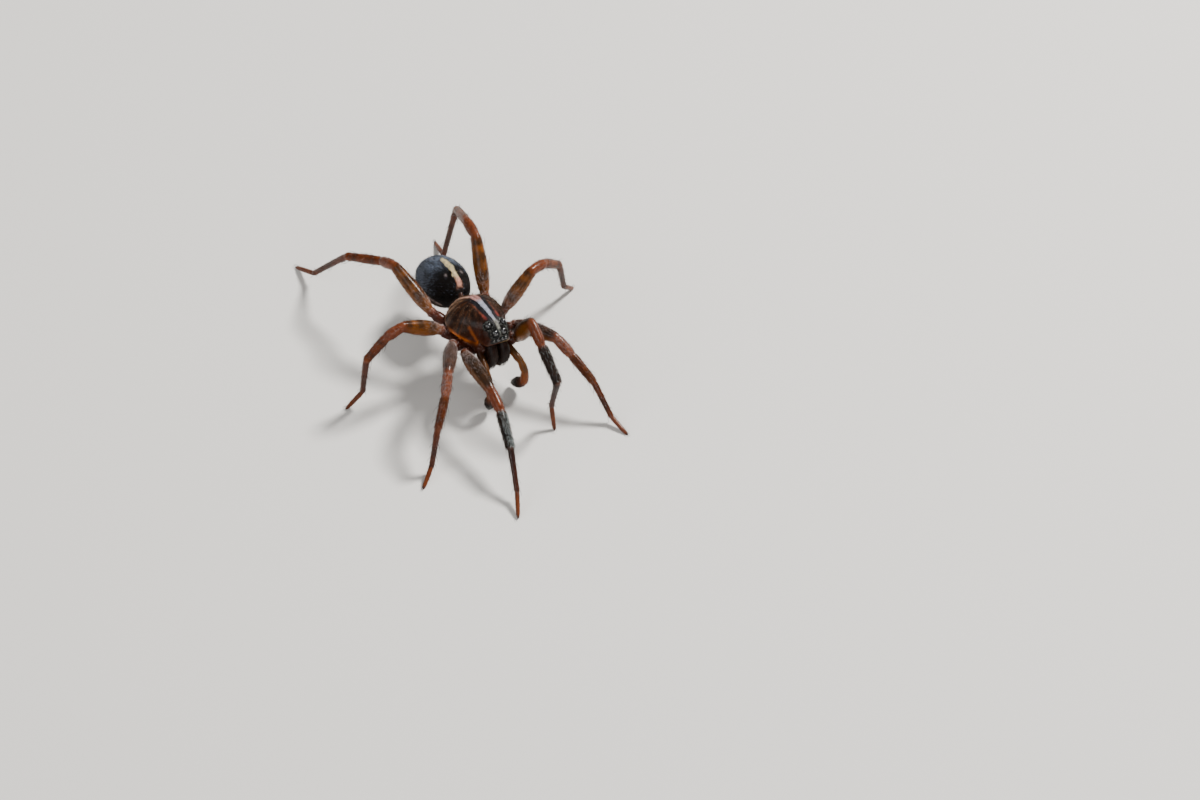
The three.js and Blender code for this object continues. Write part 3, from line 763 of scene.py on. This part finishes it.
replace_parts(skin, *[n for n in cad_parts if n.split("_")[0] in
                    ("cephalothorax", "pedicel", "abdomen", "spinnerets", "leg", "palp")])


# ---- Hair ----
BOX_LOW, BOX_HIGH = (np.array(c) / MM for c in CAD_BOX)
HAIRS_IN_A_PIECE, BAKE_PATCH = 21000, 0.0026
# how many places for hairs are tried, and how thick hairs are
ABDOMEN_TRIES, CARAPACE_TRIES, LIMB_TRIES_PER_MM2 = 76000, 46000, 520
THIN, THICK = 0.0065, 0.0085
HAIR_FACES = np.array([
    [0, 1, 4], [0, 4, 3], [1, 2, 5], [1, 5, 4], [2, 0, 3], [2, 3, 5], [3, 4, 6], [4, 5, 6], [5, 3, 6]])
HAIR_UV = np.array([[0, 0], [1, 0], [0.5, 1], [0, 0.6], [1, 0.6], [0.5, 1], [0.5, 0.5]]) * BAKE_PATCH


def settle(guesses, reach=0.07):
    """The points of the skin nearest to the guesses, their normals, and which guesses were near it."""
    spots, normals, _, distances = zip(*[skin_tree.find_nearest(Vector(g)) for g in guesses])
    near = np.array(distances) < reach
    return np.array(spots, float)[near], np.array(normals, float)[near], near


def spikes(roots, normals, lie, length, radius, lift):
    """Curved three-sided hairs: seven points each."""
    lie = unit(lie - normals * np.sum(lie * normals, -1, keepdims=True))
    side = np.cross(lie, normals)
    lift, length, radius = (np.broadcast_to(v, len(roots))[:, None] for v in (lift, length, radius))
    first = lie * np.cos(lift) + normals * np.sin(lift)
    second = lie * np.cos(lift * 0.35) + normals * np.sin(lift * 0.35)
    middle = roots + first * length * 0.5
    tip = middle + second * length * 0.5
    out = []
    rings = (roots - normals * 0.012, first, radius), (middle, second, radius * 0.75)
    for centre, direction, size in rings:
        above = np.cross(side, direction)
        for angle in np.radians([90, 210, 330]):
            out.append(centre + size * (np.cos(angle) * side + np.sin(angle) * above))
    out.append(tip)
    return np.stack(out, 1)


def inside_box(hair):
    low, high = BOX_LOW + (0.005, 0.005, 0.003), BOX_HIGH - 0.005
    for _ in range(4):
        out = ((hair < low) | (hair > high)).any((1, 2))
        root = hair[out, :3].mean(1, keepdims=True)
        hair[out] = root + (hair[out] - root) * 0.6
    return ~((hair < low) | (hair > high)).any((1, 2))


class Coat:
    """Gathers hairs and joins them into pieces. spots are the roots' places on an unwrap of the skin."""

    def __init__(self, name, slot, finish):
        self.name, self.slot, self.finish = name, slot, finish
        self.hair, self.colour, self.spots = [], [], []

    def add(self, roots, normals, lie, length, radius, lift, colour, spots):
        self.hair.append(spikes(roots, normals, lie, length, radius, lift))
        self.colour.append(np.broadcast_to(colour, (len(roots), 3)))
        self.spots.append(spots)

    def build(self):
        hair, colour, spots = (np.concatenate(v) for v in (self.hair, self.colour, self.spots))
        keep = inside_box(hair)
        hair, colour, spots = hair[keep], colour[keep], spots[keep]
        pieces = int(np.ceil(len(hair) / HAIRS_IN_A_PIECE))
        order = rng.permutation(len(hair))
        for k in range(pieces):
            part = np.sort(order[k::pieces])
            self.piece(f"{self.name}_{k + 1}", hair[part], colour[part], spots[part])

    def piece(self, name, hair, colour, spots):
        n = len(hair)
        mesh = bpy.data.meshes.new(name)
        faces = (HAIR_FACES + 7 * np.arange(n)[:, None, None]).reshape(-1, 3).astype(np.int32)
        mesh.vertices.add(7 * n)
        fill(mesh.vertices, "co", hair * MM)
        mesh.loops.add(faces.size)
        mesh.loops.foreach_set("vertex_index", faces.ravel())
        mesh.polygons.add(len(faces))
        mesh.polygons.foreach_set("loop_start", np.arange(0, faces.size, 3, dtype=np.int32))
        mesh.update(calc_edges=True)
        shade = np.ones((n, 7, 4))
        shade[..., :3] = colour[:, None]
        add_tint(mesh, shade)
        uv = (0.01 + 0.977 * spots)[:, None] + HAIR_UV
        fill(mesh.uv_layers.new(name="OFBake").data, "uv", uv.reshape(-1, 2)[faces.ravel()])
        mesh.shade_smooth()
        mesh.materials.append(self.finish)
        add_piece(name, mesh)


def vary(colour, amount):
    """The colours, each made a little lighter or darker."""
    return colour * (1 + amount * (2 * rng.random((len(colour), 1)) - 1))


# ---- Materials ----
def material(name, roughness, **values):
    m = bpy.data.materials.new(name)
    m.use_nodes = True
    shader = m.node_tree.nodes["Principled BSDF"]
    shader.inputs["Roughness"].default_value = roughness
    for key, value in values.items():
        shader.inputs[key.replace("_", " ")].default_value = value
    return m, shader


def node(m, kind, links=(), **values):
    made = m.node_tree.nodes.new(kind)
    for key, value in values.items():
        if key in made.inputs:
            made.inputs[key].default_value = value
        else:
            setattr(made, key, value)
    for target, source in links:
        m.node_tree.links.new(source, made.inputs[target])
    return made


def mapped(m, source, low, high, start=0, end=1):
    """source from start to end, mapped to low and high."""
    limits = {"From Min": start, "From Max": end, "To Min": low, "To Max": high}
    return node(m, "ShaderNodeMapRange", [("Value", source)], **limits).outputs["Result"]


def grained(m, shader, grain, detail, depth, strength, **values):
    """Noise in the model's own space, with a bump from it where depth isn't 0."""
    place = node(m, "ShaderNodeTexCoord").outputs["Object"]
    texture = node(m, "ShaderNodeTexNoise", [("Vector", place)], Scale=grain / MM, Detail=detail, **values)
    if depth:
        relief = node(m, "ShaderNodeBump", [("Height", texture.outputs["Fac"])],
                      Strength=strength, Distance=depth * MM)
        m.node_tree.links.new(relief.outputs["Normal"], shader.inputs["Normal"])
    return texture.outputs["Fac"]


def tinted(name, roughness, low, high, grain, depth, rough_range=None, **values):
    """Colour from the tint attribute, broken up by grain, with a fine bump."""
    m, shader = material(name, roughness, **values)
    link = m.node_tree.links.new
    colour = node(m, "ShaderNodeAttribute", attribute_name="tint").outputs["Color"]
    level = mapped(m, grained(m, shader, grain, 5, depth, 0.5, Roughness=0.6), low, high, 0.3, 0.7)
    multiply = node(m, "ShaderNodeVectorMath", [(0, colour), (1, level)], operation="MULTIPLY")
    link(multiply.outputs["Vector"], shader.inputs["Base Color"])
    if rough_range:
        amount = node(m, "ShaderNodeAttribute", attribute_name="gloss").outputs["Fac"]
        link(mapped(m, amount, *rough_range), shader.inputs["Roughness"])
    return m


skin_material = tinted("cuticle", 0.4, 0.75, 1.25, 16, 0.02, rough_range=(0.7, 0.26),
                       Specular_IOR_Level=0.13, Coat_Weight=0.2, Coat_Roughness=0.17)
hair_material = tinted("hair", 0.5, 0.8, 1.2, 6, 0, Specular_IOR_Level=0.09)
spine_material = tinted("spine", 0.35, 0.8, 1.2, 6, 0, Specular_IOR_Level=0.3)
skin_mesh.materials.append(skin_material)


# ---- Coats ----
def abdomen_coat():
    coat = Coat("abdomen_coat", "abdomen_skin", hair_material)
    share = rng.random(ABDOMEN_TRIES)
    keep = rng.random(len(share)) < np.sin(np.pi * share)
    share, phi = share[keep], rng.random(keep.sum()) * 2 * np.pi
    roots, normals, near = settle(from_abdomen(egg(share, phi)), 0.12)
    n = len(roots)
    spots = np.stack([share, phi / (2 * np.pi)], -1)[near]
    back = from_abdomen(np.array([0, 1, 0])) - from_abdomen(np.zeros(3))
    lie = back + 0.16 * rng.normal(size=roots.shape)
    local = to_abdomen(roots)
    colour = vary(abdomen_colour(roots, True), 0.35)
    # grey hairs above and behind, thickened into a painted sheen of light reflected off the hairs, with a
    # painted highlight: an extra patch of them on the left flank only
    sheen = 0.012 + 0.64 * ramp(local[:, 1], 0.9, 2.5) * ramp(local[:, 2], -0.7, 0.4)
    sheen = sheen + 0.7 * bump(np.linalg.norm(local - (1.1, 1.75, 0.75), axis=1), 0, 0.42)
    grey = (rng.random(n) < sheen * (0.35 + noise(roots, 0.3, 6))) & (cardiac_mark(roots) < 0.5)
    colour[grey] = vary(np.tile((0.25, 0.3, 0.4), (grey.sum(), 1)), 0.5)
    length = 0.15 + 0.07 * rng.random(n)
    lift = np.radians(8 + 12 * rng.random(n))
    coat.add(roots, normals, lie, length, THICK, lift, colour, spots)
    long = rng.random(n) < 0.02
    coat.add(roots[long], normals[long], lie[long], 0.27, 0.007, np.radians(38),
              (0.02, 0.016, 0.014), spots[long])
    coat.build()


def carapace_coat():
    coat = Coat("carapace_coat", "carapace", hair_material)
    f = 2.15 - 4.3 * rng.random(CARAPACE_TRIES)
    half, top, under, power = body_section(f)
    left = (2 * rng.random(len(f)) - 1) * half * 0.998
    low = np.maximum(under, EDGE)
    up = low + (top - low) * (1 - np.abs(left / half) ** power) ** (1 / power)
    roots, normals, _ = settle(in_space(np.stack([f, left, up], -1)), 0.12)
    n = len(roots)
    f, left, up = in_body(roots).T
    side = np.abs(left)
    spots = np.stack([(f + 2.3) / 4.6, (left + 1.95) / 3.9], -1)
    near_eye = np.min([eye_distance(f, side, up, row) for row in EYES], 0)
    band = median_band(f, side, roots) > 0.45
    angle, reach = from_fovea(f, side)
    rays = sum(bump(angle, a, 0.1) for a in RAYS) * ramp(reach, 0.5, 1.1)
    chance = 0.07 + 0.13 * np.clip(rays, 0, 1) + 0.9 * band + 0.1 * ramp(f, 1.2, 1.7)
    keep = (rng.random(n) < chance) & (near_eye > 1.12)
    outward = in_space(np.stack([f + RAYS_MEET, left * 1.3, 0 * f], -1)) - in_space((0, 0, 0))
    lie = np.where((band | (f > 0.9))[:, None], FORWARD, unit(outward)) + 0.2 * rng.normal(size=roots.shape)
    colour = carapace_colour(roots, True) * np.where(band | (f < -1.3), 1, 0.6)[:, None]
    pale = rng.random(n) < 0.03 + 0.3 * np.clip(rays, 0, 1) * ramp(-f, -0.4, 0.8)
    pale &= ~band & (f < 0.6)
    colour = np.where(pale[:, None], mix(colour, (0.3, 0.19, 0.13), 0.7), colour)
    # whitish hairs round the large eyes and between them
    halo = np.max([bump(eye_distance(f, side, up, row), 1.45, 0.3) for row in ("middle", "rear")], 0)
    between = bump(side, 0, 0.14) * bump(f, 1.9, 0.22)
    white = (rng.random(n) < 0.07 * halo + 0.3 * between) & (near_eye > 1.12)
    colour[white] = (0.34, 0.36, 0.33)
    keep |= white
    length = np.where(band, 0.15, 0.11) + 0.05 * rng.random(n)
    coat.add(roots[keep], normals[keep], lie[keep], length[keep], np.where(band, THICK, THIN)[keep],
              np.radians(10 + 10 * rng.random(keep.sum())), vary(colour[keep], 0.3), spots[keep])
    erect = (rng.random(n) < 0.008 + 0.03 * (f > 1.3)) & (near_eye > 1.15)
    coat.add(roots[erect], normals[erect], lie[erect] + 0.3 * FORWARD, 0.3, 0.007, np.radians(52),
              (0.02, 0.014, 0.01), spots[erect])
    coat.build()


HAIR_LENGTH = {
    "coxa": 0.14, "femur": 0.17, "patella": 0.15, "tibia": 0.17, "metatarsus": 0.15, "tarsus": 0.12,
    "palp_femur": 0.13, "palp_patella": 0.13, "palp_tibia": 0.16, "cymbium": 0.16, "spinneret": 0.13,
}
# how much of a leg's root is silvered with pale hairs, and how far along the femur
SILVER = {1: (0.9, 0.8), 2: (0.85, 1.3), 3: (0.85, 0.6), 4: (0.3, 0.6)}


def limb_coat(name, segments, slot):
    coat = Coat(name, slot, hair_material)
    total = sum(s.length for s in segments)
    done = 0
    for patch in segments:
        roots, normals, _ = settle(patch.sample(LIMB_TRIES_PER_MM2))
        n = len(roots)
        share, phi = patch.places(roots)
        spots = np.stack([(done + np.clip(share, 0, 1) * patch.length) / total, (phi / (2 * np.pi)) % 1], -1)
        done += patch.length
        above, kind = np.sin(phi), patch.kind
        shin = kind == "tibia" and patch.number == 1
        pale, end = SILVER.get(patch.number, (0, 0))
        silver = np.zeros(n)
        if kind == "femur":
            silver = pale * (1 - ramp(share, 0.05, end)) * ramp(above, -0.1, 0.7)
        elif kind == "coxa":
            silver = 0.75 * pale * ramp(share, 0.55, 0.85) * ramp(above, -0.2, 0.5)
        elif shin:
            # pale blue-grey hairs along the top of the front shins; the right shin gets far more of them than
            # the left, as a painted highlight
            silver = (0.14 if patch.side > 0 else 0.75) * ramp(above, 0.45, 0.9)
        elif kind in LEG_PIECES and kind != "tarsus":
            # pale hairs on top of the second pair's patellae are in part a painted highlight
            silver = (0.5 if kind == "patella" and patch.number == 2 else 0.05) * ramp(above, 0, 0.7)
        dense = 0.9 if shin or kind == "cymbium" else 0.32
        chosen = rng.random(n) < silver
        keep = chosen | (rng.random(n) < dense)
        colour = leg_colour(patch, roots, True)
        dark = rng.random(n) < 0.35
        colour = vary(np.where(dark[:, None], mix(colour, (0.012, 0.008, 0.006), 0.6), colour), 0.3)
        root = np.ones(n) if kind == "coxa" else (kind == "femur") * (1 - ramp(share, 0.08, 0.35))
        tone = mix((0.25, 0.29, 0.29) if shin else (0.25, 0.21, 0.205), (0.5, 0.4, 0.38), 0.8 * root)
        colour[chosen] = vary(tone[chosen], 0.35)
        lie = patch.d + 0.14 * rng.normal(size=roots.shape)
        length = HAIR_LENGTH[kind] * (0.75 + 0.5 * rng.random(n))
        lift = np.radians(9 + 12 * rng.random(n))
        if shin:
            length, lift = length * 1.25, lift * 2
        coat.add(roots[keep], normals[keep], lie[keep], length[keep], THIN, lift[keep],
                  colour[keep], spots[keep])
        long = rng.random(n) < 0.02
        coat.add(roots[long], normals[long], lie[long], length[long] * 1.9, 0.0055, np.radians(42),
                  (0.025, 0.012, 0.008), spots[long])
    coat.build()


# where the spines stand: share along the piece, angle round it
SPINES = {
    "femur": [(0.28, 90), (0.55, 90), (0.8, 90), (0.45, 35), (0.72, 30), (0.5, 150), (0.78, 150)],
    "patella": [(0.5, 5), (0.5, 175)],
    "tibia": [(0.25, 95), (0.65, 92), (0.3, 10), (0.65, 8), (0.3, 172), (0.65, 170),
              *[(share, angle) for share in (0.2, 0.52, 0.9) for angle in (-60, -120)]],
    "metatarsus": [(0.15, -55), (0.15, -125), (0.5, -55), (0.5, -125), (0.35, 15), (0.35, 165),
                   (0.7, 10), (0.7, 170), (0.94, -20), (0.94, -160), (0.94, 60), (0.94, 120)],
}
SPINE_LENGTH = {"femur": 0.62, "patella": 0.4, "tibia": 0.68, "metatarsus": 0.52}


def spines():
    coat = Coat("spines", "chelicera", spine_material)
    for row, segments in enumerate(legs.values()):
        for column, patch in enumerate(segments):
            if patch.kind not in SPINES:
                continue
            share, angle = np.array(SPINES[patch.kind], float).T
            share = share + 0.02 * rng.normal(size=len(share))
            phi = np.radians(angle + 6 * rng.normal(size=len(angle)))
            roots, normals, near = settle(patch.surface(share, phi), 0.2)
            spots = np.stack([(column + share[near]) / 6, np.full(near.sum(), (row + 0.5) / 8)], -1)
            length = SPINE_LENGTH[patch.kind] * (0.85 + 0.3 * rng.random(len(roots)))
            coat.add(roots, normals, patch.d + 0.1 * rng.normal(size=roots.shape), length, 0.014,
                      np.radians(30), (0.012, 0.007, 0.005), spots)
    coat.build()


abdomen_coat()
carapace_coat()
for (side_name, number), segments in legs.items():
    limb_coat(f"leg_coat_{side_name}_{number}", segments, "femur")
for side_name, segments in palps.items():
    limb_coat(f"palp_coat_{side_name}", segments, "palp")
limb_coat("spinneret_coat", spinnerets, "abdomen_skin")
spines()


# ---- Eyes, chelicerae, fangs and claws ----
def swept(route, wide, deep, sideways, sides, power=2):
    """Points and faces of a tube along a route; wide and deep are its half sizes."""
    direction = unit(np.gradient(route, axis=0))
    across = unit(sideways - direction * (direction @ sideways)[:, None])
    above = np.cross(across, direction)
    c, s = (np.sign(v) * np.abs(v) ** (2 / power) for v in (np.cos(around(sides)), np.sin(around(sides))))
    rings = route[:, None] + wide[:, None, None] * c[:, None] * across[:, None] \
        + deep[:, None, None] * s[:, None] * above[:, None]
    return tube(rings)


def shiny(name, roughness, colour, second, grain, depth, **values):
    """A dark glossy cuticle that varies a little from one colour to another."""
    m, shader = material(name, roughness, **values)
    blend = node(m, "ShaderNodeValToRGB", [("Fac", grained(m, shader, grain, 4, depth, 0.4))])
    for element, tone in zip(blend.color_ramp.elements, (colour, second)):
        element.color = (*tone, 1)
    m.node_tree.links.new(blend.outputs["Color"], shader.inputs["Base Color"])
    return m


eye_material = shiny("eye_lens", 0.06, (0.003, 0.003, 0.004), (0.008, 0.009, 0.012), 3, 0,
                     Coat_Weight=1, Coat_Roughness=0.03)
chelicera_material = shiny("chelicera", 0.4, (0.004, 0.0015, 0.001), (0.014, 0.004, 0.002), 12, 0.02,
                           Specular_IOR_Level=0.18)
fang_material = shiny("fang", 0.15, (0.02, 0.006, 0.004), (0.05, 0.014, 0.008), 8, 0.005, Coat_Weight=0.5)

theta, phi = np.meshgrid(np.linspace(0.03, np.pi - 0.03, 25), around(40), indexing="ij")
ball, inward = tube(
    np.stack([np.sin(theta) * np.cos(phi), np.sin(theta) * np.sin(phi), np.cos(theta)], -1))
ball_faces = [face[::-1] for face in inward]
for row, (place, radius) in EYES.items():
    for side_name, side in SIDES.items():
        name = f"eye_{row}_{side_name}"
        lens = ball * radius * 0.99 + in_space(sided(place, side))
        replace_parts(new_object(name + "_lens", lens, ball_faces, "eye", eye_material), name)

RINGS, ROUND, HAIRS = 40, 48, 1300
mouth_hairs = Coat("chelicera_coat", "chelicera", hair_material)
for side_name, side in SIDES.items():
    a, b, c = (np.array(sided(p, side)) for p in CHELICERA)
    t = np.linspace(0, 1, RINGS)
    u = t[:, None]
    route = in_space(a * (1 - u) * (1 - 2 * u) + 4 * b * u * (1 - u) + c * u * (2 * u - 1))
    wide, deep = smooth(CHELICERA_WIDE)(t) - 0.01, smooth(CHELICERA_DEEP)(t) - 0.03
    cap = np.sqrt(np.clip(1 - ((t - 0.9) / 0.115).clip(0) ** 2, 0.05, 1))
    points, faces = swept(route, wide * cap, deep * cap, LEFTWARD, ROUND, 2.5)
    piece = new_object(f"chelicera_{side_name}_barrel", points, faces, "chelicera", chelicera_material)
    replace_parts(piece, f"chelicera_{side_name}")
    spots = rng.random((HAIRS, 2)) * (0.94, 1)
    row, column = (spots * (RINGS, ROUND)).astype(int).T
    places = points.reshape(RINGS, ROUND, 3)[row, column]
    roots = places + 0.01 * rng.normal(size=places.shape)
    low = ramp(spots[:, 0], 0.6, 0.95)
    brown = rng.random(HAIRS) < 0.15
    tone = vary(np.where(brown[:, None], (0.08, 0.045, 0.03), (0.006, 0.0035, 0.0025)), 0.4)
    lie = in_space(c) - in_space(a) + 0.2 * rng.normal(size=roots.shape)
    mouth_hairs.add(roots, unit(places - route[row]), lie, 0.13 + 0.16 * low, 0.006,
                    np.radians(16 + 14 * rng.random(HAIRS)), tone, spots)
    a, b, c = (np.array(sided(p, side)) for p in FANG)
    u = np.linspace(0, 1, 24)[:, None]
    bow = (1 - u) ** 2 * a + 2 * u * (1 - u) * b + u * u * c
    route = in_space(np.concatenate([[a + (-0.05, -0.02, 0.24)], bow]))
    size = 0.12 * (1 - 0.87 * np.append(0, u) ** 1.6)
    points, faces = swept(route, size, size, LEFTWARD, 16)
    piece = new_object(f"fang_{side_name}_claw", points, faces, "fang", fang_material)
    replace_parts(piece, f"fang_{side_name}")
mouth_hairs.build()

claws = []
for segments in legs.values():
    tarsus = segments[-1]
    flat = unit(tarsus.d * (1, 1, 0))
    for side in (1, -1):
        u = np.linspace(0, 1, 9)[:, None]
        base = tarsus.end - tarsus.d * 0.12 + side * 0.05 * tarsus.a + (0, 0, 0.05)
        route = base + flat * 0.34 * u + (0, 0, 1) * (0.06 * np.sin(np.pi * u) - 0.07 * u ** 3)
        route = np.clip(route, BOX_LOW + 0.022, BOX_HIGH - 0.022)
        size = 0.02 * (1 - 0.8 * u[:, 0])
        claws.append(swept(route, size, size, tarsus.a, 8))
new_object("claws", *joined(claws), "fang", fang_material)

# ---- Camera, floor and light ----
# angles in degrees, lengths in millimetres; the camera aims at a point beside the body
LENS, DISTANCE, AIM = 201.6, 403.85, (4.873, -5.864, 0)
heading, height = np.radians(32), np.radians(46)
back = np.array([-np.sin(heading) * np.cos(height), -np.cos(heading) * np.cos(height), np.sin(height)])
target = np.array([*ORIGIN[:2], 0]) + AIM


def facing(direction):
    """The rotation of a camera or light that looks along a direction."""
    return Vector(direction).to_track_quat("-Z", "Y").to_euler()


camera_data = bpy.data.cameras.new("camera")
camera_data.lens, camera_data.sensor_width = LENS, 36
camera_data.clip_start, camera_data.clip_end = 0.01, 20
camera = show(bpy.data.objects.new("camera", camera_data))
camera.location = Vector((target + back * DISTANCE) * MM)
camera.rotation_euler = facing(-back)
bpy.context.scene.camera = camera

floor_mesh = bpy.data.meshes.new("floor")
floor_mesh.from_pydata([(-2, -2, 0), (2, -2, 0), (2, 2, 0), (-2, 2, 0)], [], [(0, 1, 2, 3)])
floor_material, shader = material("floor", 0.8)
shader.inputs["Base Color"].default_value = (0.67, 0.66, 0.64, 1)
floor_mesh.materials.append(floor_material)
show(bpy.data.objects.new("floor", floor_mesh))

world = bpy.data.worlds.new("studio")
world.use_nodes = True
sky = world.node_tree.nodes["Background"].inputs
sky["Color"].default_value = (1, 0.97, 0.92, 1)
sky["Strength"].default_value = 0.24
bpy.context.scene.world = world


def area_light(name, right, away, up, size, power, colour=(1, 1, 1)):
    """A round light that looks at the origin, placed as the camera's level frame has it."""
    c, s = np.cos(heading), np.sin(heading)
    place = np.array([right * c + away * s, -right * s + away * c, up])
    data = bpy.data.lights.new(name, "AREA")
    data.shape, data.size, data.energy, data.color = "DISK", size * MM, power, colour
    lamp = show(bpy.data.objects.new(name, data))
    lamp.location = Vector(place * MM)
    lamp.rotation_euler = facing(-place)


area_light("key", 170, 120, 250, 75, 2.3, (1, 0.97, 0.93))
area_light("fill", -220, -160, 200, 260, 0.5)
area_light("front", 60, -260, 140, 160, 0.3)
